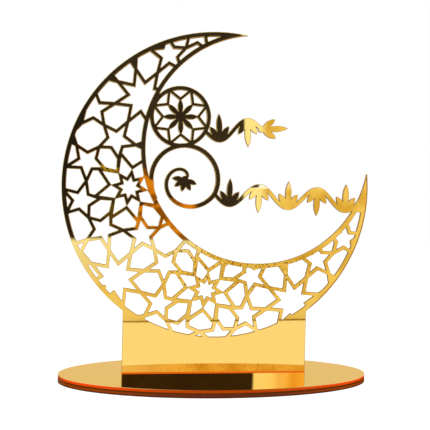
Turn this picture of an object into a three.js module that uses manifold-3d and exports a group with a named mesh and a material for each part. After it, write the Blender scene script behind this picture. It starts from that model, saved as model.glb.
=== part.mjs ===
// Crescent moon table ornament in gold mirror acrylic.
// One laser-cut panel, a lattice crescent with scrollwork and a foot, plugs into an oval stand of two
// plates.
// Millimetres: X along the stand, Y through the panel, Z up, origin under the middle of the stand.
import * as THREE from 'three';
import { mergeVertices } from 'three/addons/utils/BufferGeometryUtils.js';
import Module from 'manifold-3d';

// Stand: an oval as long as the crescent is wide, with its overhang at each end
const STAND_DEPTH = 125;
const STAND_OVERHANG = 0;
const PLATE_SHEET = 3;
const BOND_THICKNESS = 0.1;
const BOND_MARGIN = 3;

// Panel sheet, foot and tabs
const PANEL_SHEET = 3;
const FOOT_WIDTH = 150;
const CENTRE_HEIGHT = 150;
const TAB_WIDTH = 24;
const TAB_SPACING = 90;
const TAB_CLEARANCE = 0.15;
const TAB_END_GAP = 0.2;

// Crescent: an outer disc less an inner disc, whose circles meet at the horns' tips. The crescent opens
// towards OPENING_DIRECTION, and the tips lie HORN_SPREAD degrees to either side of that.
const OUTER_RADIUS = 125;
const INNER_RADIUS = 92.7;
const OPENING_DIRECTION = 43.3;
const HORN_SPREAD = 36.85;
const OUTER_RIM = 3.7;
const INNER_RIM = 3.7;

// Lattice of eight-fold rosettes and stars that alternate on a square grid
const PITCH = 72.8;
const LATTICE_TURN = -7.2;
const LATTICE_ORIGIN = new THREE.Vector2(-71.7, -1.9);
const STRAP_WIDTH = 2.8;
const LEAST_OPENING = 5;

// Places where the straps' centre lines bend or cross, as shares of the pitch from a rosette's centre
const ROSETTE = {
  starTip: 0.166, starNotch: 0.0937, axisRoot: 0.221, diagonalRoot: 0.2133,
  outerCross: [0.3545, 0.1512], innerCross: [0.297, 0.1633],
  low: [0.4303, 0.141], side: [0.4031, 0.2588], link: 0.4708, diagonal: 0.5496,
};
// The same from a star's centre
const STAR = { notch: 0.159, tip: 0.314, low: [0.4536, 0.1377], side: [0.415, 0.2296], diagonal: 0.5232 };
// The five-pointed star's notch towards the cell's centre, from the rosette
const CELL_NOTCH = [0.5037, 0.3102];

// Scrollwork: a volute and a ringed star that touch the inner rim and each other, and a vine from each
const SCROLL_LINE = -21;
const VOLUTE_RADIUS = 27;
const WINDING = 0.9;
const STEM_LEAD = 14;
const STEM_START = 0.6;
const STEM_WIDTH = 3.8;
const STEM_END = 2.4;
const RING_RADIUS = 23;
const RING_WIDTH = 3.4;
const STAR_WIDTH = 2.4;
const STAR_WAIST = 0.62;
const VINE_WIDTH = 3.2;
// Each vine leaves its circle at so many degrees, and waves from side to side through its bays
const LOWER_VINE = { leaves: -25, belowHorn: 23, bays: 5, wave: 8.5 };
const UPPER_VINE = { leaves: -28, length: 46, rise: 3, bays: 2, wave: 8 };
const LEAF = { length: 22, width: 5 };
const SIDE_LEAF = { length: 14, width: 5, spread: 34 };
const VOLUTE_FLOWER = { petals: 5, step: 40, length: 10.5, width: 4.4, bud: 2.8 };
const STAR_FLOWER = { petals: 8, step: 45, length: 14.5, width: 4.5, bud: 3 };
const FLOWER_LEAN = 114;
const END_BUD = 2.6;

// Smoothness
const ARC_STEP = 2;
const SPIRAL_STEP = 7;
const LEAF_STEPS = 7;
const BUD_STEPS = 9;
const BAY_STEPS = 14;

const wasm = await Module();
wasm.setup();

const { Vector2 } = THREE;
const toRadians = THREE.MathUtils.degToRad;
const arcSegments = Math.round(180 / ARC_STEP);
const polar = (radius, degrees) =>
  new Vector2(radius * Math.cos(toRadians(degrees)), radius * Math.sin(toRadians(degrees)));
const angleOf = (vector) => THREE.MathUtils.radToDeg(vector.angle());

// A closed solid from a geometry, and back
function toSolid(geometry) {
  const bare = geometry.clone();
  bare.deleteAttribute('normal');
  bare.deleteAttribute('uv');
  const merged = mergeVertices(bare, 1e-5);
  return new wasm.Manifold(new wasm.Mesh({
    numProp: 3,
    vertProperties: new Float32Array(merged.attributes.position.array),
    triVerts: new Uint32Array(merged.index.array),
  }));
}

function toGeometry(solid) {
  const mesh = solid.getMesh();
  const geometry = new THREE.BufferGeometry();
  geometry.setAttribute('position', new THREE.BufferAttribute(mesh.vertProperties, 3));
  geometry.setIndex(new THREE.BufferAttribute(mesh.triVerts, 1));
  geometry.computeVertexNormals();
  return geometry;
}

// An outline cut out of sheet, lying flat from height 'low' up to 'low' plus 'thickness'
function cut(shape, thickness, low = 0, curveSegments = arcSegments) {
  const settings = { depth: thickness, bevelEnabled: false, curveSegments };
  return toSolid(new THREE.ExtrudeGeometry(shape, settings).translate(0, 0, low));
}

function ellipse(centre, radiusX, radiusY) {
  return new THREE.Shape().absellipse(centre.x, centre.y, radiusX, radiusY, 0, 2 * Math.PI);
}

const circle = (centre, radius) => ellipse(centre, radius, radius);

function rectangle(x0, y0, x1, y1) {
  return new THREE.Shape([
    new Vector2(x0, y0), new Vector2(x1, y0), new Vector2(x1, y1), new Vector2(x0, y1),
  ]);
}

const ORIGIN = new Vector2(0, 0);
const RIGHT_TIP = polar(OUTER_RADIUS, OPENING_DIRECTION - HORN_SPREAD);
const halfMouth = OUTER_RADIUS * Math.sin(toRadians(HORN_SPREAD));
const mouthDistance = OUTER_RADIUS * Math.cos(toRadians(HORN_SPREAD));
const innerDistance = mouthDistance - Math.sqrt(INNER_RADIUS ** 2 - halfMouth ** 2);
const INNER_CENTRE = polar(innerDistance, OPENING_DIRECTION);
const passThrough = { thickness: PANEL_SHEET + 2, low: -1 };
const hole = (shape, curveSegments) => cut(shape, passThrough.thickness, passThrough.low, curveSegments);

// Lattice: each tile is an outline of centre lines, drawn in from each side by half a strap

const flip = (p) => new Vector2(p.x, -p.y);
const swap = (p) => new Vector2(p.y, p.x);
const fromStar = (p) => new Vector2(1 - p.x, p.y);

// The line through two points, and the point where two such lines meet
const lineThrough = (a, b) => ({ point: a, along: b.clone().sub(a).normalize() });

function meet(one, other) {
  const reach = other.point.clone().sub(one.point).cross(other.along) / one.along.cross(other.along);
  return one.point.clone().addScaledVector(one.along, reach);
}

// Moves each edge of a counter-clockwise outline inwards and returns the new corners
function drawIn(outline, inset) {
  const edges = outline.map((start, i) => {
    const edge = lineThrough(start, outline[(i + 1) % outline.length]);
    edge.point = start.clone().addScaledVector(new Vector2(-edge.along.y, edge.along.x), inset);
    return edge;
  });
  return edges.map((edge, i) => meet(edges.at(i - 1), edge));
}

// The tiles around one rosette and one star, as counter-clockwise outlines of strap centre lines
function makeTiles() {
  const at = ([x, y]) => new Vector2(x, y);
  const root = [polar(ROSETTE.axisRoot, 0), polar(ROSETTE.diagonalRoot, 45)];
  const tip = [polar(ROSETTE.starTip, 0), polar(ROSETTE.starTip, 45)];
  const notch = polar(ROSETTE.starNotch, 22.5);
  const outer = at(ROSETTE.outerCross);
  const inner = at(ROSETTE.innerCross);
  const low = at(ROSETTE.low);
  const side = at(ROSETTE.side);
  const link = new Vector2(ROSETTE.link, 0);
  const corner = polar(ROSETTE.diagonal, 45);
  const cellNotch = at(CELL_NOTCH);
  const starRoot = [polar(STAR.notch, 0), polar(STAR.notch, 45)];
  const starTip = polar(STAR.tip, 22.5);
  const starLow = at(STAR.low);
  const starSide = at(STAR.side);
  const starCorner = polar(STAR.diagonal, 45);
  const turned = (points) => [0, 90, 180, 270].flatMap((degrees) =>
    points.map((p) => p.clone().rotateAround(ORIGIN, toRadians(degrees))));

  const kiteEnd = (i) => meet(lineThrough(root[i], outer), lineThrough(tip[i], notch));
  const kite = [kiteEnd(0), outer, kiteEnd(1), notch];
  const fivePoint = [link, fromStar(starLow), fromStar(starTip), fromStar(starSide), fromStar(starCorner),
    cellNotch, corner, side, inner, low];
  const cell = new Vector2(1, 1);
  const octagonHalf = [corner, cellNotch, fromStar(starCorner), cell.clone().sub(swap(cellNotch))];
  const octagon = [...octagonHalf, ...octagonHalf.map((p) => cell.clone().sub(p))];
  return {
    rosetteOnce: [turned([tip[0], notch, tip[1], swap(notch)])],
    rosetteQuarter: [
      kite,
      kite.map(swap).reverse(),
      [root[0], flip(outer), flip(low), link, low, outer],
      [root[1], inner, side, corner, swap(side), swap(inner)],
      fivePoint,
      fivePoint.map(flip).reverse(),
    ],
    rosetteHalf: [octagon],
    starOnce: [turned([starRoot[0], starTip, starRoot[1], swap(starTip)])],
    starQuarter: [
      [starRoot[0], flip(starTip), flip(starLow), fromStar(link), starLow, starTip],
      [starRoot[1], starTip, starSide, starCorner, swap(starSide), swap(starTip)],
    ],
  };
}

// Every tile of the lattice that could lie in the crescent, as outlines in the panel's plane
function latticeOutlines() {
  const tiles = makeTiles();
  const reach = Math.ceil((2 * OUTER_RADIUS) / PITCH) + 1;
  const outlines = [];
  const place = (tile, column, row, degrees) => {
    const middle = new Vector2(column, row).multiplyScalar(PITCH);
    const scaled = tile.map((p) => p.clone().multiplyScalar(PITCH));
    outlines.push(drawIn(scaled, STRAP_WIDTH / 2).map((p) => p
      .rotateAround(ORIGIN, toRadians(degrees))
      .add(middle)
      .rotateAround(ORIGIN, toRadians(LATTICE_TURN))
      .add(LATTICE_ORIGIN)));
  };
  const quarters = [0, 90, 180, 270];
  for (let column = -reach; column <= reach; column++) {
    for (let row = -reach; row <= reach; row++) {
      const isRosette = (column + row) % 2 === 0;
      const once = isRosette ? tiles.rosetteOnce : tiles.starOnce;
      const quarter = isRosette ? tiles.rosetteQuarter : tiles.starQuarter;
      once.forEach((tile) => place(tile, column, row, 0));
      quarter.forEach((tile) => quarters.forEach((degrees) => place(tile, column, row, degrees)));
      if (isRosette) {
        tiles.rosetteHalf.forEach((tile) => [0, 90].forEach((degrees) => place(tile, column, row, degrees)));
      }
    }
  }
  return outlines;
}

// The openings of the lattice: its tiles clipped to the band between the rims, less the smallest scraps
function latticeOpenings() {
  const band = hole(circle(ORIGIN, OUTER_RADIUS - OUTER_RIM))
    .subtract(hole(circle(INNER_CENTRE, INNER_RADIUS + INNER_RIM)));
  const isNear = (outline) => outline.some((p) =>
    p.length() < OUTER_RADIUS && p.distanceTo(INNER_CENTRE) > INNER_RADIUS);
  return latticeOutlines()
    .filter(isNear)
    .flatMap((outline) => hole(new THREE.Shape(outline)).intersect(band).decompose())
    .filter((piece) => piece.volume() > LEAST_OPENING * passThrough.thickness);
}

// Scrollwork

// The volute's circle touches the inner rim from inside, on its left, and rests on the scroll line
function voluteCircle() {
  const y = SCROLL_LINE + VOLUTE_RADIUS;
  const reach = Math.sqrt((INNER_RADIUS - VOLUTE_RADIUS) ** 2 - (y - INNER_CENTRE.y) ** 2);
  return { radius: VOLUTE_RADIUS, centre: new Vector2(INNER_CENTRE.x - reach, y) };
}

// The star's ring touches the inner rim from inside and the volute from outside
function ringCircle(below) {
  const toBelow = below.centre.clone().sub(INNER_CENTRE);
  const apart = toBelow.length();
  const fromRim = INNER_RADIUS - RING_RADIUS;
  const fromBelow = below.radius + RING_RADIUS;
  const bend = Math.acos((apart ** 2 + fromRim ** 2 - fromBelow ** 2) / (2 * apart * fromRim));
  const centre = toBelow.normalize().multiplyScalar(fromRim).rotateAround(ORIGIN, -bend).add(INNER_CENTRE);
  return { radius: RING_RADIUS, centre };
}

// A ribbon along a path, with its own width at each point and blunt ends
function ribbon(path, widths) {
  const left = [];
  const right = [];
  path.forEach((point, i) => {
    const ahead = path[Math.min(i + 1, path.length - 1)];
    const behind = path[Math.max(i - 1, 0)];
    const along = ahead.clone().sub(behind).normalize();
    const across = new Vector2(-along.y, along.x).multiplyScalar(widths[i] / 2);
    left.push(point.clone().add(across));
    right.unshift(point.clone().sub(across));
  });
  return cut(new THREE.Shape([...right, ...left]), PANEL_SHEET);
}

// A pointed leaf from 'root' towards 'degrees'
function leaf(root, degrees, { length, width }) {
  const tip = polar(length, degrees).add(root);
  const middle = root.clone().lerp(tip, 0.6);
  const across = polar(width, degrees + 90);
  const shape = new THREE.Shape()
    .moveTo(root.x, root.y)
    .quadraticCurveTo(middle.x - across.x, middle.y - across.y, tip.x, tip.y)
    .quadraticCurveTo(middle.x + across.x, middle.y + across.y, root.x, root.y);
  return cut(shape, PANEL_SHEET, 0, LEAF_STEPS);
}

// Three leaves from one root
const sprout = (root, degrees) => [
  leaf(root, degrees, LEAF),
  leaf(root, degrees - SIDE_LEAF.spread, SIDE_LEAF),
  leaf(root, degrees + SIDE_LEAF.spread, SIDE_LEAF),
];

const bud = (centre, radius) => cut(circle(centre, radius), PANEL_SHEET, 0, BUD_STEPS);

// Petals around a bud, spread evenly to either side of 'degrees'
function flower(centre, degrees, form) {
  const first = degrees - (form.step * (form.petals - 1)) / 2;
  const petals = Array.from({ length: form.petals }, (_, i) => leaf(centre, first + form.step * i, form));
  return [bud(centre, form.bud), ...petals];
}

// The volute grows out of the rim before it touches it at 'touch', keeps its full radius clockwise round to
// 'leave', then winds in to a flower
function volute({ centre, radius }, touch, leave) {
  const start = touch + STEM_LEAD;
  const held = ((start - leave) % 360 + 360) % 360;
  const total = held + WINDING * 360;
  const steps = Math.round(total / SPIRAL_STEP);
  const path = [];
  const widths = [];
  for (let i = 0; i <= steps; i++) {
    const swept = (total * i) / steps;
    const wound = Math.max(0, swept - held) / (total - held);
    path.push(polar(radius * (1 - wound), start - swept).add(centre));
    const grown = Math.min(1, swept / (2 * STEM_LEAD));
    widths.push(THREE.MathUtils.lerp(STEM_START, THREE.MathUtils.lerp(STEM_WIDTH, STEM_END, wound), grown));
  }
  return [ribbon(path, widths), ...flower(centre, start - total - FLOWER_LEAN, VOLUTE_FLOWER)];
}

// A ring around an eight-pointed star of straps, whose waist holds a flower
function ringedStar({ centre, radius }, degrees) {
  const corner = (i) => polar(i % 2 ? radius * STAR_WAIST : radius, degrees + 22.5 * i).add(centre);
  const outline = Array.from({ length: 16 }, (_, i) => corner(i));
  const ring = cut(circle(centre, radius + RING_WIDTH / 2), PANEL_SHEET)
    .subtract(hole(circle(centre, radius - RING_WIDTH / 2)));
  const star = cut(new THREE.Shape(drawIn(outline, -STAR_WIDTH / 2)), PANEL_SHEET)
    .intersect(cut(circle(centre, radius), PANEL_SHEET))
    .subtract(hole(new THREE.Shape(drawIn(outline, STAR_WIDTH / 2))));
  return [ring, star, ...flower(centre, degrees, STAR_FLOWER)];
}

// A stem that waves along the line between two points, with a sprout in each bay
function vine(from, to, { bays, wave }) {
  const span = to.clone().sub(from);
  const across = new Vector2(-span.y, span.x).normalize();
  const at = (share) => from.clone().addScaledVector(span, share)
    .addScaledVector(across, -wave * Math.sin(Math.PI * bays * share));
  const steps = bays * BAY_STEPS;
  const path = Array.from({ length: steps + 1 }, (_, i) => at(i / steps));
  const pieces = [ribbon(path, path.map(() => VINE_WIDTH))];
  for (let bay = 0; bay < bays; bay++) {
    pieces.push(...sprout(at((bay + 0.5) / bays), angleOf(across) + 180 * bay));
  }
  return pieces;
}

function scrollwork() {
  const lower = voluteCircle();
  const upper = ringCircle(lower);
  const direction = (from, to) => angleOf(to.clone().sub(from));
  const onCircle = ({ centre, radius }, degrees) => polar(radius, degrees).add(centre);
  const rimMiddle = INNER_RADIUS + INNER_RIM / 2;
  const endHeight = RIGHT_TIP.y - LOWER_VINE.belowHorn;
  const rimReach = Math.sqrt(rimMiddle ** 2 - (endHeight - INNER_CENTRE.y) ** 2);
  const lowerStart = onCircle(lower, LOWER_VINE.leaves);
  const lowerEnd = new Vector2(INNER_CENTRE.x + rimReach, endHeight);
  const upperStart = onCircle(upper, UPPER_VINE.leaves);
  const upperEnd = upperStart.clone().add(new Vector2(UPPER_VINE.length, UPPER_VINE.rise));
  const pieces = [
    ...volute(lower, direction(INNER_CENTRE, lower.centre), LOWER_VINE.leaves),
    ...ringedStar(upper, direction(INNER_CENTRE, upper.centre)),
    ...vine(lowerStart, lowerEnd, LOWER_VINE),
    ...vine(upperStart, upperEnd, UPPER_VINE),
    ...sprout(upperEnd, direction(upperStart, upperEnd)),
    bud(upperEnd, END_BUD),
  ];
  return pieces.reduce((all, piece) => all.add(piece));
}

// Panel, drawn flat about the crescent's centre

const standHeight = 2 * PLATE_SHEET + BOND_THICKNESS;
const footLine = -CENTRE_HEIGHT;
const tabDepth = PLATE_SHEET + BOND_THICKNESS - TAB_END_GAP;
const tabPlaces = [-TAB_SPACING / 2, TAB_SPACING / 2];

function panelSolid() {
  const shoulder = -Math.sqrt(OUTER_RADIUS ** 2 - (FOOT_WIDTH / 2) ** 2);
  const foot = rectangle(-FOOT_WIDTH / 2, footLine, FOOT_WIDTH / 2, shoulder);
  let solid = cut(circle(ORIGIN, OUTER_RADIUS), PANEL_SHEET).add(cut(foot, PANEL_SHEET));
  solid = solid.subtract(hole(circle(INNER_CENTRE, INNER_RADIUS)));
  for (const opening of latticeOpenings()) {
    solid = solid.subtract(opening);
  }
  solid = solid.add(scrollwork());
  for (const x of tabPlaces) {
    const tab = rectangle(x - TAB_WIDTH / 2, footLine - tabDepth, x + TAB_WIDTH / 2, footLine + 1);
    solid = solid.add(cut(tab, PANEL_SHEET));
  }
  return solid;
}

// Stand plates: ovals, the top one and the film with slots for the panel's tabs

function ovalPlate(thickness, low, margin, slotted) {
  const halfStand = OUTER_RADIUS + STAND_OVERHANG;
  let solid = cut(ellipse(ORIGIN, halfStand - margin, STAND_DEPTH / 2 - margin), thickness, low);
  const halfLength = TAB_WIDTH / 2 + TAB_CLEARANCE;
  const halfWidth = PANEL_SHEET / 2 + TAB_CLEARANCE;
  for (const x of slotted ? tabPlaces : []) {
    const slot = rectangle(x - halfLength, -halfWidth, x + halfLength, halfWidth);
    solid = solid.subtract(cut(slot, thickness + 2, low - 1));
  }
  return solid;
}

const goldMirror = () => new THREE.MeshStandardMaterial({ color: 0xffd573, roughness: 0.06, metalness: 1 });
const clearFilm = () => new THREE.MeshStandardMaterial({ color: 0xf2f0e6, roughness: 0.5, metalness: 0 });

function piece(name, solid, material) {
  const mesh = new THREE.Mesh(toGeometry(solid), material);
  mesh.name = name;
  return mesh;
}

const stand = new THREE.Group();
stand.add(
  piece('base_bottom_plate', ovalPlate(PLATE_SHEET, 0, 0, false), goldMirror()),
  piece('base_bond_film', ovalPlate(BOND_THICKNESS, PLATE_SHEET, BOND_MARGIN, true), clearFilm()),
  piece('base_top_plate', ovalPlate(PLATE_SHEET, PLATE_SHEET + BOND_THICKNESS, 0, true), goldMirror()),
);

const panel = piece('crescent_panel', panelSolid(), goldMirror());
panel.rotation.x = Math.PI / 2;
panel.position.set(0, PANEL_SHEET / 2, standHeight + CENTRE_HEIGHT);

const ornament = new THREE.Group();
ornament.add(stand, panel);
export default ornament;
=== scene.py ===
"""Crescent moon table ornament in gold mirror acrylic, dressed and lit in a plain pale studio.

Metres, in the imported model's own frame: X along the stand, Y through the panel away from its mirror front,
Z up.
"""

import bpy
import numpy as np
from mathutils import Matrix, Vector


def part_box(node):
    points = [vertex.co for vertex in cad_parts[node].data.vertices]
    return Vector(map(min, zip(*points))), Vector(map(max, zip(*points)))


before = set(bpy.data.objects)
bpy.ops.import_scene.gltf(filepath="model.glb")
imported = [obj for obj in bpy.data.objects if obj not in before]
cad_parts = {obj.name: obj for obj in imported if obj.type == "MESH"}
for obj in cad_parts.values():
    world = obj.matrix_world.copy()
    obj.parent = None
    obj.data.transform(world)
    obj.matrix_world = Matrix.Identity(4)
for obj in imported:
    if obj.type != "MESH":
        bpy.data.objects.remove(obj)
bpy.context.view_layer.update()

PANEL_LOW, PANEL_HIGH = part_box("crescent_panel")
STAND_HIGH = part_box("base_top_plate")[1]
STAND_TOP = STAND_HIGH[2]
FOOT_TOP = 0.0562                   # where the foot's sides meet the crescent's rim

WHITE = (1.0, 1.0, 1.0)
BLACK = (0.0, 0.0, 0.0)

# Camera: a point in front of the stand and to its left, level with the middle of the crescent
CAMERA_PLACE = Vector((-0.0981, -0.6503, 0.1467))
CAMERA_TURN = np.radians(8.38)      # to the right of +Y
CAMERA_DROP = np.radians(1.13)      # below the horizon
CAMERA_ROLL = np.radians(1.3)       # counter-clockwise
FOCAL_LENGTH = 68.0                 # millimetres on a 36 mm wide sensor
SENSOR_WIDTH = 36.0

# Light: each lamp's name, place, width and power
LAMPS = [
    ("key_lamp", (-0.9, -1.1, 1.5), 1.0, 22.0),
    ("fill_lamp", (1.2, -0.8, 1.1), 1.2, 12.0),
    ("rear_lamp", (0.2, 1.3, 1.3), 1.2, 12.0),
]
LAMP_TARGET = (0.0, 0.0, 0.1)
WORLD_LIGHT = (0.55, 0.55, 0.55)
BACKDROP_IN_GOLD = (0.80, 0.80, 0.80)

# The table
FLOOR_REACH = 8.0
FLOOR_UNDER_STAND = 0.002           # how far the table goes in under the stand's edge
FLOOR_STEPS = 128
TABLE_GLOW = 0.86                   # what the camera sees: this much white light, and a matt grey on top,
TABLE_MATT = (0.25, 0.25, 0.25)     # which keeps the shadow
TABLE_PLAIN = (0.8, 0.8, 0.8)       # what throws light back on the ornament

# Colours of the sheet and of the film, linear
GOLD = (1.0, 0.665, 0.175)
GOLD_AT_A_GRAZE = (1.0, 0.84, 0.56)
FLECK = (0.24, 0.11, 0.010)         # dark specks in the gold, low in the middle of the panel
# Painted light and shade along the cuts: the cut walls as they look through the clear face, paler on cuts
# that face left and darker on cuts that face right. The darker one is also the colour of dust on the mirror.
LIT_LINE_FACING_LEFT = (0.33, 0.27, 0.08)      # the thin line along a cut that faces left, and along one that faces
DUST_AND_SHADED_LINE_FACING_RIGHT = (0.27, 0.14, 0.012)    # right
# Painted see-through view: the sheet's far cut edge as it looks through the clear face, drawn as a brown line
# along the right outer rim
RIM_LINE = (0.27, 0.125, 0.008)     # along the right outer rim
CUT_EDGE = (0.40, 0.19, 0.03)
CUT_EDGE_DEEP = (0.16, 0.06, 0.012)
BACK_PAINT = (0.31, 0.32, 0.34)
BACK_PAINT_THIN = (0.24, 0.25, 0.27)
FOOT_GLOW = (0.60, 0.115, 0.003)
FILM_CLEAR = (0.86, 0.84, 0.78)
FILM_CLOUDY = (0.72, 0.70, 0.64)

# Roughness of the clean mirror, and what each mark, cut, paint or line adds to it
CLEAN_ROUGHNESS = 0.015
SMUDGE_ROUGHNESS = 0.02
SPECK_ROUGHNESS = 0.08
CUT_ROUGHNESS = 0.28
PAINT_ROUGHNESS = 0.25
LINE_ROUGHNESS = 0.4
FILM_ROUGHNESS = 0.5
ACRYLIC_IOR = 1.49

# How much of its colour each see-through part of the sheet gives off as light
GLOW_LIGHT = 0.4
LINE_LIGHT = 0.35
CUT_LIGHT = 0.12

# Handling marks and lines on the mirror
SPECKS_PER_METRE = 420.0
SMUDGES_PER_METRE = 26.0
FILM_CLOUDS_PER_METRE = 60.0
DUST_SHARE = 0.25
FLECK_SHARE = 0.9
SCUFF_SHARE = 0.5                   # of the dust that shows on the back's paint
LINE_WIDTH = 0.0008
RIM_LINE_WIDTH = 0.0011
RIM_LINE_BLUR = 0.0002
RIM_LINE_FADE = (0.02, 0.09)        # where the rim's line comes in, from the middle to the right
GLOW_HEIGHT = 0.00075               # of the orange strip where the foot meets the stand
GLOW_BLUR = 0.00015
CUT_EDGE_FADE = (0.05, 0.7)         # where a cut edge pales, as shares of the sheet from its back

# The mirror's slope: the sheet leans back by this much over its height, and by a little less just above the
# stand
PANEL_LEAN = 0.048
FOOT_LEAN = 0.041
FOOT_LEAN_HEIGHT = 0.016

# Bands on the stand's cut edge, from each plate's underside to its top: height share, colour at the middle
# # of the stand, colour towards its ends. The brighter end colours are painted light, and the pale top band
# at the
# # ends of the top plate is a painted highlight.
TOP_BANDS = [
    (0.00, (0.100, 0.026, 0.004), (0.120, 0.028, 0.002)),
    (0.24, (0.400, 0.048, 0.002), (0.780, 0.060, 0.002)),
    (0.88, (0.180, 0.045, 0.004), (0.900, 0.600, 0.220)),
]
BOTTOM_BANDS = [
    (0.00, (0.065, 0.009, 0.002), (0.085, 0.012, 0.002)),
    (0.30, (0.110, 0.026, 0.010), (0.270, 0.048, 0.004)),
    (0.88, (0.080, 0.020, 0.005), (0.080, 0.022, 0.002)),
]
BAND_BLUR = 0.06
BAND_WANDER = 0.12                  # how far blotches shift a band, as a share of the plate's thickness
DULL_END = (0.22, 0.085, 0.025)     # over the bands at the stand's left end
DULL_SHARE = 0.55

# The room that the mirror shows is painted on a plane at the table's far edge, in front of the stand. Its
# places are given as places on the panel that show them: (x, z) shows ROOM_SCALE * (x, z) + ROOM_SHIFT.
ROOM_Y = -0.8205
ROOM_SPAN = (-1.3, 1.3, 0.0, 1.1)   # its left, right, lower and upper sides
ROOM_SCALE = 2.2623
ROOM_SHIFT = (0.1238, -0.10656)
TABLE_LINE = 0.0017                 # thickness of the dark line at the table's far edge
TABLE_LINE_TINT = (0.27, 0.19, 0.008)
TABLE_TILT = 0.0136                 # rise of the table's edge over each metre to the right
TABLE_HAZE = 0.09                   # share of the line's tint in what is a little above it,
TABLE_HAZE_FADE = (0.014, 0.002)    # up to this height

# The dim half of the room
DIM_LOW = (0.0255, 0.0240, 0.0375)
DIM_HIGH = (0.0425, 0.0400, 0.0625)
DIM_FAR_LEFT = (0.006, 0.006, 0.020)
DIM_FAR_SHARE = 0.55
DIM_FOOT = 0.1135                   # where it begins
DIM_FOOT_BLUR = 0.0016
DIM_FOOT_WANDER = 0.012
DIM_SIDE = 0.0210                   # where it ends to the right,
DIM_SIDE_IN_STAND = 0.0127          # how much further right it ends where the stand shows it,
DIM_SIDE_AT_TOP = 0.003             # and how much further left at the top,
DIM_TOP = (0.20, 0.28)              # which begins here
DIM_SIDE_BLUR = 0.0012
OLIVE = (0.19, 0.14, 0.006)
OLIVE_SHARE = 0.38
OLIVE_BRIGHT = (0.50, 0.42, 0.04)   # a streak high on the left
RED_BROWN = (0.080, 0.024, 0.005)
STREAK_STRETCH = 0.45               # streaks are drawn out along X by 1 over this

# The warm half of the room
WARM_HIGH = (0.91, 0.84, 0.50)
WARM_LOW = (0.70, 0.55, 0.16)
WARM_NEAR_TABLE = (0.86, 0.84, 0.66)
NEAR_TABLE_SHARE = 0.55
PALE = (0.87, 0.94, 1.05)
PALEST = (0.97, 1.12, 1.42)
STRIP = (1.05, 1.18, 1.35)          # beside the dim half
CREAM = (1.02, 1.45, 3.6)           # beside it where the stand shows it,
CREAM_FADE = (0.036, 0.004)         # fading with the distance from it
SPECK_TINT = (0.13, 0.085, 0.006)
SPECK_SHARE = 0.35
UPRIGHT_HIGH = (1.0, 0.95, 0.80)    # upright streaks where the stand shows the warm half
UPRIGHT_LOW = (0.86, 0.70, 0.36)
UPRIGHT_SQUEEZE = 0.12              # the streaks are drawn out along Z by 1 over this

# A copper gleam in front of the room. It stands nearer, so the stand's reflection misses it.
COPPER_Y = -0.2940
COPPER_SPAN = (-0.09, 0.06, 0.11, 0.24)
COPPER_SCALE = 1.45
COPPER_SHIFT = (0.0441, -0.0379)
COPPER_BRIGHT = (0.72, 0.30, 0.020)
COPPER_DEEP = (0.26, 0.105, 0.008)

# Ovals on the panel: centre, direction, and how far they go to each side along it and across it
OLIVE_OVAL = ((-0.087, 0.1695), (0.99, -0.12), 0.012, 0.0045)
COPPER_RIM_OVAL = ((-0.053, 0.151), (0.40, -0.917), 0.022, 0.0090)
COPPER_LOW_OVAL = ((-0.041, 0.125), (0.92, -0.39), 0.034, 0.021)
COPPER_VOLUTE_OVAL = ((-0.036, 0.1410), (0.99, -0.10), 0.024, 0.0065)
VOLUTE_SHARE = 0.5                  # how strong the volute's oval is beside the others

# Parts of the panel: their sides across, then their sides upward. A side is the place where the part's mask
# is 0 and the place where it is 1.
SPECKLED_PART = ([(-0.060, -0.030), (0.090, 0.055)], [(0.062, 0.080), (0.118, 0.104)])
STAND_PART = ([], [(0.1555, 0.1575), (0.186, 0.178)])       # what the stand's top shows
OLIVE_PART = ([(-0.052, -0.066)], [(0.174, 0.164)])
RED_BROWN_PART = ([(-0.116, -0.110), (-0.076, -0.084)], [(0.152, 0.162), (0.205, 0.190)])
DIM_FAR_PART = ([(-0.085, -0.110)], [])
PALE_PART = ([(-0.02, -0.08)], [(0.065, 0.095)])
PALEST_PART = ([(0.00, -0.03)], [(0.094, 0.110)])
NEAR_TABLE_PART = ([], [(0.076, 0.060)])
STRIP_PART = ([(0.021, 0.012)], [(0.115, 0.130)])           # across from the dim half's side
COPPER_WHOLE_PART = ([(-0.046, -0.036)], [(0.130, 0.122)])  # where the gleam has no gaps


def link(tree, source, target):
    """Joins an output socket to an input socket."""
    tree.links.new(source, target)


def feed(tree, socket, value):
    """Sets a socket to a number, a vector or a colour, or links another socket to it."""
    if isinstance(value, (int, float)):
        socket.default_value = value
    elif isinstance(value, tuple):
        socket.default_value = (*value, 1.0) if socket.type == "RGBA" else value
    else:
        link(tree, value, socket)


def node(tree, kind, **values):
    """A node with its properties set."""
    made = tree.nodes.new(kind)
    for name, value in values.items():
        setattr(made, name, value)
    return made


def math_node(tree, operation, first, second=0.0, clamp=False):
    """A Math node fed by sockets or numbers, and its output."""
    made = node(tree, "ShaderNodeMath", operation=operation, use_clamp=clamp)
    feed(tree, made.inputs[0], first)
    feed(tree, made.inputs[1], second)
    return made.outputs[0]


def chain(tree, operation, first, others):
    """One Math node after another, each with the result so far and the next number or socket."""
    for other in others:
        first = math_node(tree, operation, first, other)
    return first


def product(tree, first, *others):
    """Numbers or sockets multiplied together."""
    return chain(tree, "MULTIPLY", first, others)


def total(tree, first, *others):
    """Numbers or sockets added together."""
    return chain(tree, "ADD", first, others)


def greatest(tree, first, *others):
    """The greatest of several numbers or sockets."""
    return chain(tree, "MAXIMUM", first, others)


def less(tree, first, second):
    """A number or socket less another."""
    return math_node(tree, "SUBTRACT", first, second)


def opposite(tree, value):
    """1 less a mask."""
    return math_node(tree, "SUBTRACT", 1.0, value, clamp=True)


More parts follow.
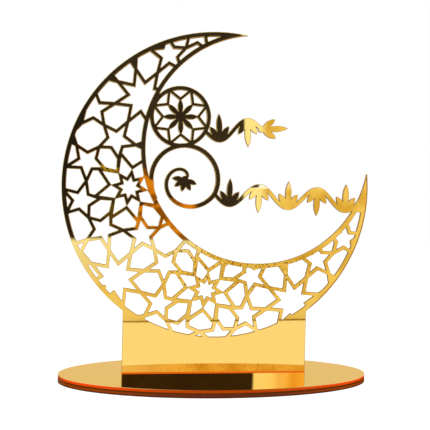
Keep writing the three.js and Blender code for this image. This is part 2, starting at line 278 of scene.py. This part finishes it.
def ramp(tree, value, low, high):
    """0 below low, 1 above high, smooth between, and the other way round where low is above high."""
    made = node(tree, "ShaderNodeMapRange", interpolation_type="SMOOTHSTEP")
    swapped = low > high
    feed(tree, made.inputs["Value"], value)
    feed(tree, made.inputs["From Min"], min(low, high))
    feed(tree, made.inputs["From Max"], max(low, high))
    feed(tree, made.inputs["To Min"], 1.0 if swapped else 0.0)
    feed(tree, made.inputs["To Max"], 0.0 if swapped else 1.0)
    return made.outputs["Result"]


def colour_mix(tree, share, first, second):
    """A colour between first and second, each a colour or a socket."""
    made = node(tree, "ShaderNodeMix", data_type="RGBA")
    feed(tree, made.inputs["Factor"], share)
    for name, value in (("A", first), ("B", second)):
        feed(tree, [s for s in made.inputs if s.name == name and s.type == "RGBA"][0], value)
    return [s for s in made.outputs if s.type == "RGBA"][0]


def split_object(tree):
    """X, Y and Z of the Object coordinates."""
    coordinate = node(tree, "ShaderNodeTexCoord")
    split = node(tree, "ShaderNodeSeparateXYZ")
    link(tree, coordinate.outputs["Object"], split.inputs[0])
    return split.outputs


def joined(tree, x, y, z):
    """A vector of three numbers or sockets."""
    made = node(tree, "ShaderNodeCombineXYZ")
    for socket, value in zip(made.inputs, (x, y, z)):
        feed(tree, socket, value)
    return made.outputs[0]


def noise(tree, place, scale, detail=3.0, distortion=0.0):
    """A noise between 0 and 1 read at a place."""
    made = node(tree, "ShaderNodeTexNoise")
    link(tree, place, made.inputs["Vector"])
    feed(tree, made.inputs["Scale"], scale)
    feed(tree, made.inputs["Detail"], detail)
    feed(tree, made.inputs["Distortion"], distortion)
    return made.outputs["Fac"]


def new_group(name, inputs, outputs):
    """An empty shader node group with named sockets, and its inner input and output nodes."""
    group = bpy.data.node_groups.new(name, "ShaderNodeTree")
    for label, kind in inputs:
        group.interface.new_socket(label, in_out="INPUT", socket_type=kind)
    for label, kind in outputs:
        group.interface.new_socket(label, in_out="OUTPUT", socket_type=kind)
    return group, group.nodes.new("NodeGroupInput"), group.nodes.new("NodeGroupOutput")


def faces_group():
    """Which side of the sheet a point is on: the share that faces 'Front', and the share that faces away."""
    group, given, out = new_group(
        "sheet_faces",
        [("Front", "NodeSocketVector")],
        [("Mirror", "NodeSocketFloat"), ("Painted", "NodeSocketFloat")],
    )
    coordinate = node(group, "ShaderNodeTexCoord")
    dot = node(group, "ShaderNodeVectorMath", operation="DOT_PRODUCT")
    link(group, coordinate.outputs["Normal"], dot.inputs[0])
    link(group, given.outputs["Front"], dot.inputs[1])
    link(group, ramp(group, dot.outputs["Value"], 0.90, 0.96), out.inputs["Mirror"])
    link(group, ramp(group, dot.outputs["Value"], -0.90, -0.96), out.inputs["Painted"])
    return group


def marks_group():
    """Dust specks and wiped smudges on a mirror: cells cut down to their centres, and a broad noise."""
    group, given, out = new_group(
        "handling_marks",
        [("Specks per Metre", "NodeSocketFloat"), ("Smudges per Metre", "NodeSocketFloat")],
        [("Specks", "NodeSocketFloat"), ("Smudges", "NodeSocketFloat")],
    )
    coordinate = node(group, "ShaderNodeTexCoord")
    fine = node(group, "ShaderNodeTexVoronoi", feature="F1")
    feed(group, fine.inputs["Randomness"], 1.0)
    link(group, coordinate.outputs["Object"], fine.inputs["Vector"])
    link(group, given.outputs["Specks per Metre"], fine.inputs["Scale"])
    broad = node(group, "ShaderNodeTexNoise")
    feed(group, broad.inputs["Detail"], 4.0)
    feed(group, broad.inputs["Roughness"], 0.6)
    feed(group, broad.inputs["Distortion"], 0.8)
    link(group, coordinate.outputs["Object"], broad.inputs["Vector"])
    link(group, given.outputs["Smudges per Metre"], broad.inputs["Scale"])
    link(group, ramp(group, fine.outputs["Distance"], 0.16, 0.04), out.inputs["Specks"])
    link(group, ramp(group, broad.outputs["Fac"], 0.45, 0.75), out.inputs["Smudges"])
    return group


def edge_line_group():
    """The thin line along every cut: how far the normal, rounded over 'Width', leans from the face, and which
    way it leans, from 0 for left to 1 for right."""
    group, given, out = new_group(
        "edge_line",
        [("Width", "NodeSocketFloat")],
        [("Line", "NodeSocketFloat"), ("Side", "NodeSocketFloat")],
    )
    rounded = node(group, "ShaderNodeBevel", samples=16)
    link(group, given.outputs["Width"], rounded.inputs["Radius"])
    plain = node(group, "ShaderNodeNewGeometry")
    dot = node(group, "ShaderNodeVectorMath", operation="DOT_PRODUCT")
    link(group, rounded.outputs["Normal"], dot.inputs[0])
    link(group, plain.outputs["True Normal"], dot.inputs[1])
    split = node(group, "ShaderNodeSeparateXYZ")
    link(group, rounded.outputs["Normal"], split.inputs[0])
    link(group, ramp(group, dot.outputs["Value"], 0.998, 0.97), out.inputs["Line"])
    link(group, ramp(group, split.outputs["X"], -0.10, 0.10), out.inputs["Side"])
    return group


FACES = faces_group()
MARKS = marks_group()
EDGE_LINE = edge_line_group()


def placed(tree, group, **values):
    """A group node with its values set."""
    made = node(tree, "ShaderNodeGroup", node_tree=group)
    for name, value in values.items():
        made.inputs[name.replace("_", " ")].default_value = value
    return made


def mirror_marks(tree):
    """The marks group, as it is on every mirror of the ornament."""
    return placed(tree, MARKS, Specks_per_Metre=SPECKS_PER_METRE, Smudges_per_Metre=SMUDGES_PER_METRE)


def new_material(name):
    """A material with its Principled shader, and its tree."""
    material = bpy.data.materials.new(name)
    material.use_nodes = True
    tree = material.node_tree
    return material, tree, tree.nodes["Principled BSDF"]


def bare_material(name):
    """A material with nothing but an output node, and its tree."""
    material = bpy.data.materials.new(name)
    material.use_nodes = True
    tree = material.node_tree
    tree.nodes.clear()
    return material, tree, node(tree, "ShaderNodeOutputMaterial")


def mirror_roughness(tree, marks, mirror, painted):
    """Near 0 on the clean mirror, more on smudges and specks, more again on cut edges and on the paint."""
    return total(tree, CLEAN_ROUGHNESS,
                 product(tree, marks.outputs["Smudges"], SMUDGE_ROUGHNESS),
                 product(tree, marks.outputs["Specks"], SPECK_ROUGHNESS),
                 product(tree, opposite(tree, mirror), CUT_ROUGHNESS),
                 product(tree, painted, PAINT_ROUGHNESS))


def back_paint(tree, marks):
    """Sprayed grey paint, thinner in cloudy places and scuffed in specks."""
    thin = greatest(tree, marks.outputs["Smudges"], product(tree, marks.outputs["Specks"], SCUFF_SHARE))
    return colour_mix(tree, thin, BACK_PAINT, BACK_PAINT_THIN)


def set_mirror(shader):
    """The constants of mirror acrylic: gold that stays gold at a grazing look."""
    shader.inputs["Specular Tint"].default_value = (*GOLD_AT_A_GRAZE, 1.0)
    shader.inputs["Specular IOR Level"].default_value = 0.0
    shader.inputs["IOR"].default_value = ACRYLIC_IOR


def soft_part(tree, x, z, across, upward):
    """A mask for a part of the panel, given by its sides across and its sides upward."""
    masks = [ramp(tree, x, *side) for side in across] + [ramp(tree, z, *side) for side in upward]
    return product(tree, *masks)


def outer_rim_line(tree, place):
    """A mask for the last millimetre of the crescent's right outer rim, above the foot, where the sheet's far
    edge is painted as it shows through the face, a painted see-through view: all that is further than a
    radius from the crescent's centre."""
    radius = PANEL_HIGH[0]
    from_centre = less(tree, place["Z"], PANEL_HIGH[2] - radius)
    away = math_node(tree, "SQRT", total(tree, product(tree, place["X"], place["X"]),
                                         product(tree, from_centre, from_centre)))
    start = radius - RIM_LINE_WIDTH
    above_foot = ramp(tree, place["Z"], FOOT_TOP, FOOT_TOP + 0.004)
    return product(tree, ramp(tree, away, start - RIM_LINE_BLUR, start + RIM_LINE_BLUR), above_foot,
                   ramp(tree, place["X"], *RIM_LINE_FADE))


def cut_edge(tree, y):
    """Amber-brown, darker towards the painted back."""
    thickness = PANEL_HIGH[1] - PANEL_LOW[1]
    fade = [PANEL_HIGH[1] - share * thickness for share in CUT_EDGE_FADE]
    return colour_mix(tree, ramp(tree, y, *fade), CUT_EDGE_DEEP, CUT_EDGE)


def flecked_gold(tree, marks, place):
    """Gold with a little dust, and with dark flecks low in the middle of the panel."""
    dusty = colour_mix(tree, product(tree, marks.outputs["Specks"], DUST_SHARE), GOLD, DUST_AND_SHADED_LINE_FACING_RIGHT)
    spot = joined(tree, place["X"], 0.0, place["Z"])
    flecks = ramp(tree, noise(tree, spot, scale=600.0, detail=1.0), 0.56, 0.63)
    speckled = soft_part(tree, place["X"], place["Z"], *SPECKLED_PART)
    return colour_mix(tree, product(tree, flecks, speckled, FLECK_SHARE), dusty, FLECK)


def lean_back(tree, z):
    """A normal that leans the mirror back a little, as a sheet does in slots with some play: a bump whose
    height falls evenly with z, a little less steeply just above the stand."""
    low_part = math_node(tree, "MINIMUM", z, STAND_TOP + FOOT_LEAN_HEIGHT)
    lean = node(tree, "ShaderNodeBump")
    feed(tree, lean.inputs["Strength"], 1.0)
    feed(tree, lean.inputs["Distance"], 1.0)
    fall = total(tree, product(tree, z, -PANEL_LEAN), product(tree, low_part, PANEL_LEAN - FOOT_LEAN))
    link(tree, fall, lean.inputs["Height"])
    return lean.outputs["Normal"]


def panel_material():
    """The panel: gold mirror front with painted light and shade along each cut and a painted see-through line
    along the right outer rim, amber-brown cut edges, a grey painted back, and a strip of the sheet's orange
    glow where the foot meets the stand."""
    material, tree, shader = new_material("gold_mirror_panel")
    faces = placed(tree, FACES, Front=(0.0, -1.0, 0.0))
    mirror, painted = faces.outputs["Mirror"], faces.outputs["Painted"]
    marks = mirror_marks(tree)
    line = placed(tree, EDGE_LINE, Width=LINE_WIDTH)
    place = split_object(tree)

    cut_line = product(tree, line.outputs["Line"], mirror)
    rim_line = product(tree, outer_rim_line(tree, place), mirror)
    lines = greatest(tree, cut_line, rim_line)
    glow_top = STAND_TOP + GLOW_HEIGHT
    glow = product(tree, ramp(tree, place["Z"], glow_top + GLOW_BLUR, glow_top - GLOW_BLUR), mirror)

    face = flecked_gold(tree, marks, place)
    # Painted light and shade: each cut's line is paler where the cut faces left and darker where it faces
    # right
    line_light_and_shade = colour_mix(tree, line.outputs["Side"], LIT_LINE_FACING_LEFT, DUST_AND_SHADED_LINE_FACING_RIGHT)
    face = colour_mix(tree, cut_line, face, line_light_and_shade)
    # Painted see-through view of the far edge along the right outer rim
    face = colour_mix(tree, rim_line, face, RIM_LINE)
    face = colour_mix(tree, glow, face, FOOT_GLOW)
    colour = colour_mix(tree, mirror, cut_edge(tree, place["Y"]), face)
    colour = colour_mix(tree, painted, colour, back_paint(tree, marks))
    link(tree, colour, shader.inputs["Base Color"])

    plain = greatest(tree, lines, glow)
    link(tree, math_node(tree, "SUBTRACT", mirror, plain, clamp=True), shader.inputs["Metallic"])
    rough = mirror_roughness(tree, marks, mirror, painted)
    link(tree, total(tree, rough, product(tree, plain, LINE_ROUGHNESS)), shader.inputs["Roughness"])

    cut = product(tree, opposite(tree, mirror), opposite(tree, painted))
    lit = greatest(tree, product(tree, glow, GLOW_LIGHT), product(tree, lines, LINE_LIGHT),
                   product(tree, cut, CUT_LIGHT))
    link(tree, colour_mix(tree, lit, BLACK, colour), shader.inputs["Emission Color"])
    shader.inputs["Emission Strength"].default_value = 1.0
    link(tree, lean_back(tree, place["Z"]), shader.inputs["Normal"])
    set_mirror(shader)
    return material


def banded_edge(tree, bands, low, high):
    """A colour in bands up a plate's edge, paler or deeper towards the stand's ends with painted light there
    and a pale painted highlight along the top, dull at the left one.
    """
    place = split_object(tree)
    coordinate = node(tree, "ShaderNodeTexCoord")
    normal = node(tree, "ShaderNodeSeparateXYZ")
    link(tree, coordinate.outputs["Normal"], normal.inputs[0])
    # Share of the end colours, by how far the edge faces along X: the painted light and highlight at the
    # stand's ends
    ends = ramp(tree, math_node(tree, "ABSOLUTE", normal.outputs["X"]), 0.02, 0.55)
    blotches = noise(tree, coordinate.outputs["Object"], scale=90.0, detail=2.0)
    height = math_node(tree, "DIVIDE", less(tree, place["Z"], low), high - low)
    height = total(tree, height, product(tree, less(tree, blotches, 0.5), BAND_WANDER))
    colour = colour_mix(tree, ends, bands[0][1], bands[0][2])
    for share, middle, end in bands[1:]:
        step = ramp(tree, height, share - BAND_BLUR, share + BAND_BLUR)
        colour = colour_mix(tree, step, colour, colour_mix(tree, ends, middle, end))
    dull = product(tree, ramp(tree, normal.outputs["X"], -0.80, -0.97), DULL_SHARE)
    return colour_mix(tree, dull, colour, DULL_END)


def plate_material(name, bands):
    """A plate of the stand: gold mirror top, banded orange to maroon cut edge with painted light towards the
    stand's ends, painted underside.
    """
    material, tree, shader = new_material(f"gold_mirror_{name}")
    low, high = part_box(name)
    faces = placed(tree, FACES, Front=(0.0, 0.0, 1.0))
    mirror, painted = faces.outputs["Mirror"], faces.outputs["Painted"]
    marks = mirror_marks(tree)
    edge = banded_edge(tree, bands, low[2], high[2])

    colour = colour_mix(tree, mirror, edge, GOLD)
    link(tree, colour_mix(tree, painted, colour, back_paint(tree, marks)), shader.inputs["Base Color"])
    link(tree, mirror, shader.inputs["Metallic"])
    link(tree, mirror_roughness(tree, marks, mirror, painted), shader.inputs["Roughness"])
    set_mirror(shader)
    return material


def film_material():
    """Clear adhesive film, faintly cloudy."""
    material, tree, shader = new_material("adhesive_film")
    marks = placed(tree, MARKS, Smudges_per_Metre=FILM_CLOUDS_PER_METRE)
    cloud = colour_mix(tree, marks.outputs["Smudges"], FILM_CLEAR, FILM_CLOUDY)
    link(tree, cloud, shader.inputs["Base Color"])
    shader.inputs["Roughness"].default_value = FILM_ROUGHNESS
    return material


def dress(name, material):
    """Gives a CAD node one material."""
    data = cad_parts[name].data
    data.materials.clear()
    data.materials.append(material)


dress("crescent_panel", panel_material())
dress("base_top_plate", plate_material("base_top_plate", TOP_BANDS))
dress("base_bottom_plate", plate_material("base_bottom_plate", BOTTOM_BANDS))
dress("base_bond_film", film_material())


def stage_plane(name, corners, faces, material, seen_by_camera):
    """A flat stage piece. One that the camera doesn't see shows only in mirrors."""
    data = bpy.data.meshes.new(name)
    data.from_pydata(corners, [], faces)
    made = bpy.data.objects.new(name, data)
    bpy.context.scene.collection.objects.link(made)
    data.materials.append(material)
    if not seen_by_camera:
        made.visible_camera = False
        made.visible_diffuse = False
        made.visible_shadow = False
        made.visible_transmission = False


def emission(tree, colour, strength=1.0):
    """An Emission shader's output."""
    made = node(tree, "ShaderNodeEmission")
    feed(tree, made.inputs["Color"], colour)
    feed(tree, made.inputs["Strength"], strength)
    return made.outputs[0]


def shader_mix(tree, share, first, second):
    """A shader between first and second."""
    made = node(tree, "ShaderNodeMixShader")
    for socket, value in zip(made.inputs, (share, first, second)):
        link(tree, value, socket)
    return made.outputs[0]


def matt(tree, colour):
    """A Diffuse shader's output."""
    made = node(tree, "ShaderNodeBsdfDiffuse")
    feed(tree, made.inputs["Color"], colour)
    return made.outputs[0]


def floor_material():
    """White table that keeps a soft shadow, and is plain white in mirrors."""
    material, tree, out = bare_material("pale_table")
    path = node(tree, "ShaderNodeLightPath")
    both = node(tree, "ShaderNodeAddShader")
    link(tree, emission(tree, WHITE, TABLE_GLOW), both.inputs[0])
    link(tree, matt(tree, TABLE_MATT), both.inputs[1])
    seen = shader_mix(tree, path.outputs["Is Camera Ray"], matt(tree, TABLE_PLAIN), both.outputs[0])
    seen = shader_mix(tree, path.outputs["Is Glossy Ray"], seen, emission(tree, WHITE))
    link(tree, seen, out.inputs["Surface"])
    return material


def floor_ring():
    """Corners and faces of the table: a flat ring from the stand's outline, drawn in a little, to a circle.

    A corner at turn t is at width * cos t, depth * sin t. The table is open under the stand, so that a look
    from below shows the painted underside.
    """
    turn = np.linspace(0.0, 2.0 * np.pi, FLOOR_STEPS, endpoint=False)
    circle = np.stack([np.cos(turn), np.sin(turn), np.zeros(FLOOR_STEPS)], axis=1)
    opening = (STAND_HIGH[0] - FLOOR_UNDER_STAND, STAND_HIGH[1] - FLOOR_UNDER_STAND, 0.0)
    here = np.arange(FLOOR_STEPS)
    beyond = (here + 1) % FLOOR_STEPS
    faces = np.stack([here, here + FLOOR_STEPS, beyond + FLOOR_STEPS, beyond], axis=1)
    return np.concatenate([circle * opening, circle * FLOOR_REACH]).tolist(), faces.tolist()


def upright(y, left, right, lower, upper):
    """Corners and face of an upright rectangle."""
    return [(left, y, lower), (right, y, lower), (right, y, upper), (left, y, upper)], [(0, 1, 2, 3)]


def oval_mask(tree, x, z, centre, along, reach, width):
    """1 at an oval's centre, 0 at its rim: 1 less the root of (lengthways / reach) squared plus
    (sideways / width) squared."""
    from_x = less(tree, x, centre[0])
    from_z = less(tree, z, centre[1])
    lengthways = total(tree, product(tree, from_x, along[0]), product(tree, from_z, along[1]))
    sideways = less(tree, product(tree, from_x, along[1]), product(tree, from_z, along[0]))
    lengthways = product(tree, lengthways, lengthways, reach ** -2)
    sideways = product(tree, sideways, sideways, width ** -2)
    return opposite(tree, math_node(tree, "SQRT", total(tree, lengthways, sideways)))


def panel_place(tree, scale, shift):
    """The place on the panel that shows a point of a stage plane, as x, z and a vector."""
    place = split_object(tree)
    x = product(tree, less(tree, place["X"], shift[0]), 1 / scale)
    z = product(tree, less(tree, place["Z"], shift[1]), 1 / scale)
    return x, z, joined(tree, x, 0.0, z)


def above_dim_foot(tree, z, spot):
    """A mask for what is above the dim half's lower end, which wanders a little."""
    wander = product(tree, less(tree, noise(tree, spot, scale=30.0, detail=3.0), 0.5), DIM_FOOT_WANDER)
    return ramp(tree, total(tree, z, wander), DIM_FOOT - DIM_FOOT_BLUR, DIM_FOOT + DIM_FOOT_BLUR)


def dim_half(tree, x, z, spot):
    """The dim half of the room: near black clouds, with olive and red-brown streaks low down."""
    drawn_out = joined(tree, product(tree, x, STREAK_STRETCH), 0.0, z)
    clouds = ramp(tree, noise(tree, spot, scale=19.0, detail=4.0), 0.3, 0.7)
    dim = colour_mix(tree, clouds, DIM_LOW, DIM_HIGH)
    olive = ramp(tree, noise(tree, drawn_out, scale=70.0, detail=3.0, distortion=0.6), 0.54, 0.64)
    olive = product(tree, olive, soft_part(tree, x, z, *OLIVE_PART), OLIVE_SHARE)
    dim = colour_mix(tree, olive, dim, OLIVE)
    brown = ramp(tree, noise(tree, drawn_out, scale=48.0, detail=2.0), 0.50, 0.62)
    brown = product(tree, brown, soft_part(tree, x, z, *RED_BROWN_PART))
    dim = colour_mix(tree, brown, dim, RED_BROWN)
    far_left = product(tree, soft_part(tree, x, z, *DIM_FAR_PART), DIM_FAR_SHARE)
    dim = colour_mix(tree, far_left, dim, DIM_FAR_LEFT)
    gleam = ramp(tree, oval_mask(tree, x, z, *OLIVE_OVAL), 0.05, 0.6)
    gleam = product(tree, gleam, ramp(tree, noise(tree, spot, scale=330.0, detail=2.0), 0.40, 0.56))
    return colour_mix(tree, gleam, dim, OLIVE_BRIGHT)


def warm_half(tree, x, z, spot, in_stand):
    """The rest of the room: mottled warm gold with dark specks, paler to the left and beside the dim half,
    and in upright streaks where the stand shows it."""
    patches = ramp(tree, noise(tree, spot, scale=45.0, detail=4.0), 0.35, 0.62)
    mottle = colour_mix(tree, patches, WARM_LOW, WARM_HIGH)
    mottle = colour_mix(tree, soft_part(tree, x, z, *PALE_PART), mottle, PALE)
    mottle = colour_mix(tree, soft_part(tree, x, z, *PALEST_PART), mottle, PALEST)
    near_table = product(tree, soft_part(tree, x, z, *NEAR_TABLE_PART), NEAR_TABLE_SHARE)
    mottle = colour_mix(tree, near_table, mottle, WARM_NEAR_TABLE)
    specks = ramp(tree, noise(tree, spot, scale=640.0, detail=1.0), 0.55, 0.62)
    specks = product(tree, specks, soft_part(tree, x, z, *SPECKLED_PART), SPECK_SHARE)
    mottle = colour_mix(tree, specks, mottle, SPECK_TINT)
    tall = joined(tree, x, 0.0, product(tree, z, UPRIGHT_SQUEEZE))
    streaks = ramp(tree, noise(tree, tall, scale=95.0, detail=3.0), 0.40, 0.60)
    return colour_mix(tree, in_stand, mottle, colour_mix(tree, streaks, UPRIGHT_LOW, UPRIGHT_HIGH))


def room_material():
    """The room in front of the mirror: a dim half, a warm half with a pale strip between them, and the
    table's far edge as a dark line."""
    material, tree, out = bare_material("mirrored_room")
    place = split_object(tree)
    x, z, spot = panel_place(tree, ROOM_SCALE, ROOM_SHIFT)

    in_stand = soft_part(tree, x, z, *STAND_PART)
    warm = warm_half(tree, x, z, spot, in_stand)
    side = total(tree, DIM_SIDE, product(tree, in_stand, DIM_SIDE_IN_STAND))
    side = less(tree, side, product(tree, ramp(tree, z, *DIM_TOP), DIM_SIDE_AT_TOP))
    beyond_side = less(tree, x, side)
    warm = colour_mix(tree, soft_part(tree, beyond_side, z, *STRIP_PART), warm, STRIP)
    cream = product(tree, ramp(tree, beyond_side, *CREAM_FADE), in_stand)
    warm = colour_mix(tree, cream, warm, CREAM)

    inside = product(tree, ramp(tree, beyond_side, DIM_SIDE_BLUR, -DIM_SIDE_BLUR),
                     above_dim_foot(tree, z, spot))
    seen = colour_mix(tree, inside, warm, dim_half(tree, x, z, spot))

    rise = less(tree, place["Z"], product(tree, place["X"], TABLE_TILT))
    haze = product(tree, ramp(tree, rise, *TABLE_HAZE_FADE), TABLE_HAZE)
    seen = colour_mix(tree, haze, seen, TABLE_LINE_TINT)
    seen = colour_mix(tree, ramp(tree, rise, 2 * TABLE_LINE, 1.4 * TABLE_LINE), seen, TABLE_LINE_TINT)
    seen = colour_mix(tree, ramp(tree, rise, 0.3 * TABLE_LINE, -0.3 * TABLE_LINE), seen, WHITE)
    link(tree, emission(tree, seen), out.inputs["Surface"])
    return material


def copper_material():
    """A brushed copper gleam, see-through round about: ovals along the inner rim, below it and on the
    volute, whole low on the right and broken by gaps elsewhere."""
    material, tree, out = bare_material("copper_gleam")
    x, z, spot = panel_place(tree, COPPER_SCALE, COPPER_SHIFT)
    patch = greatest(tree, oval_mask(tree, x, z, *COPPER_RIM_OVAL),
                     oval_mask(tree, x, z, *COPPER_LOW_OVAL),
                     product(tree, oval_mask(tree, x, z, *COPPER_VOLUTE_OVAL), VOLUTE_SHARE))
    patch = ramp(tree, patch, 0.02, 0.20)
    drawn_out = joined(tree, product(tree, x, STREAK_STRETCH), 0.0, z)
    brushed = noise(tree, drawn_out, scale=75.0, detail=4.0, distortion=0.4)
    copper = colour_mix(tree, ramp(tree, brushed, 0.42, 0.58), COPPER_DEEP, COPPER_BRIGHT)
    whole = soft_part(tree, x, z, *COPPER_WHOLE_PART)
    solid = greatest(tree, ramp(tree, noise(tree, spot, scale=95.0, detail=2.0), 0.36, 0.48), whole)
    share = product(tree, patch, solid, above_dim_foot(tree, z, spot))
    clear = node(tree, "ShaderNodeBsdfTransparent")
    shown = shader_mix(tree, share, clear.outputs[0], emission(tree, copper))
    link(tree, shown, out.inputs["Surface"])
    return material


stage_plane("table", *floor_ring(), floor_material(), seen_by_camera=True)
stage_plane("room", *upright(ROOM_Y, *ROOM_SPAN), room_material(), seen_by_camera=False)
stage_plane("copper_gleam", *upright(COPPER_Y, *COPPER_SPAN), copper_material(), seen_by_camera=False)


def studio_world():
    """White behind the object for the camera. Mirrors see it a little greyer behind the object than in front
    of it."""
    world = bpy.data.worlds.new("studio")
    bpy.context.scene.world = world
    world.use_nodes = True
    tree = world.node_tree
    tree.nodes.clear()
    out = node(tree, "ShaderNodeOutputWorld")
    path = node(tree, "ShaderNodeLightPath")
    coordinate = node(tree, "ShaderNodeTexCoord")
    split = node(tree, "ShaderNodeSeparateXYZ")
    link(tree, coordinate.outputs["Generated"], split.inputs[0])
    behind = ramp(tree, split.outputs["Y"], -0.1, 0.3)
    in_mirror = colour_mix(tree, behind, WHITE, BACKDROP_IN_GOLD)
    colour = colour_mix(tree, path.outputs["Is Glossy Ray"], WORLD_LIGHT, in_mirror)
    colour = colour_mix(tree, path.outputs["Is Transmission Ray"], colour, WHITE)
    colour = colour_mix(tree, path.outputs["Is Camera Ray"], colour, WHITE)
    shine = node(tree, "ShaderNodeBackground")
    link(tree, colour, shine.inputs["Color"])
    link(tree, shine.outputs[0], out.inputs["Surface"])


def soft_lamp(name, place, width, power):
    """A square area lamp that points at the ornament and isn't seen in mirrors."""
    data = bpy.data.lights.new(name, "AREA")
    data.size = width
    data.energy = power
    lamp = bpy.data.objects.new(name, data)
    bpy.context.scene.collection.objects.link(lamp)
    lamp.location = place
    lamp.rotation_euler = (Vector(LAMP_TARGET) - Vector(place)).to_track_quat("-Z", "Y").to_euler()
    lamp.visible_glossy = False


def photographs_camera():
    """The camera's own axes: forward turned and dropped from +Y, then right and up rolled about it."""
    ahead = Vector((np.sin(CAMERA_TURN), np.cos(CAMERA_TURN), 0.0))
    up = Vector((0.0, 0.0, 1.0))
    right = ahead.cross(up)
    forward = ahead * np.cos(CAMERA_DROP) - up * np.sin(CAMERA_DROP)
    level_up = ahead * np.sin(CAMERA_DROP) + up * np.cos(CAMERA_DROP)
    rolled_right = right * np.cos(CAMERA_ROLL) + level_up * np.sin(CAMERA_ROLL)
    rolled_up = level_up * np.cos(CAMERA_ROLL) - right * np.sin(CAMERA_ROLL)
    data = bpy.data.cameras.new("camera")
    data.lens = FOCAL_LENGTH
    data.sensor_width = SENSOR_WIDTH
    data.sensor_fit = "HORIZONTAL"
    camera = bpy.data.objects.new("camera", data)
    bpy.context.scene.collection.objects.link(camera)
    turn = Matrix((rolled_right, rolled_up, -forward)).transposed().to_4x4()
    camera.matrix_world = Matrix.Translation(CAMERA_PLACE) @ turn
    bpy.context.scene.camera = camera


studio_world()
for name, place, width, power in LAMPS:
    soft_lamp(name, place, width, power)
photographs_camera()
bpy.context.scene.view_settings.view_transform = "Standard"
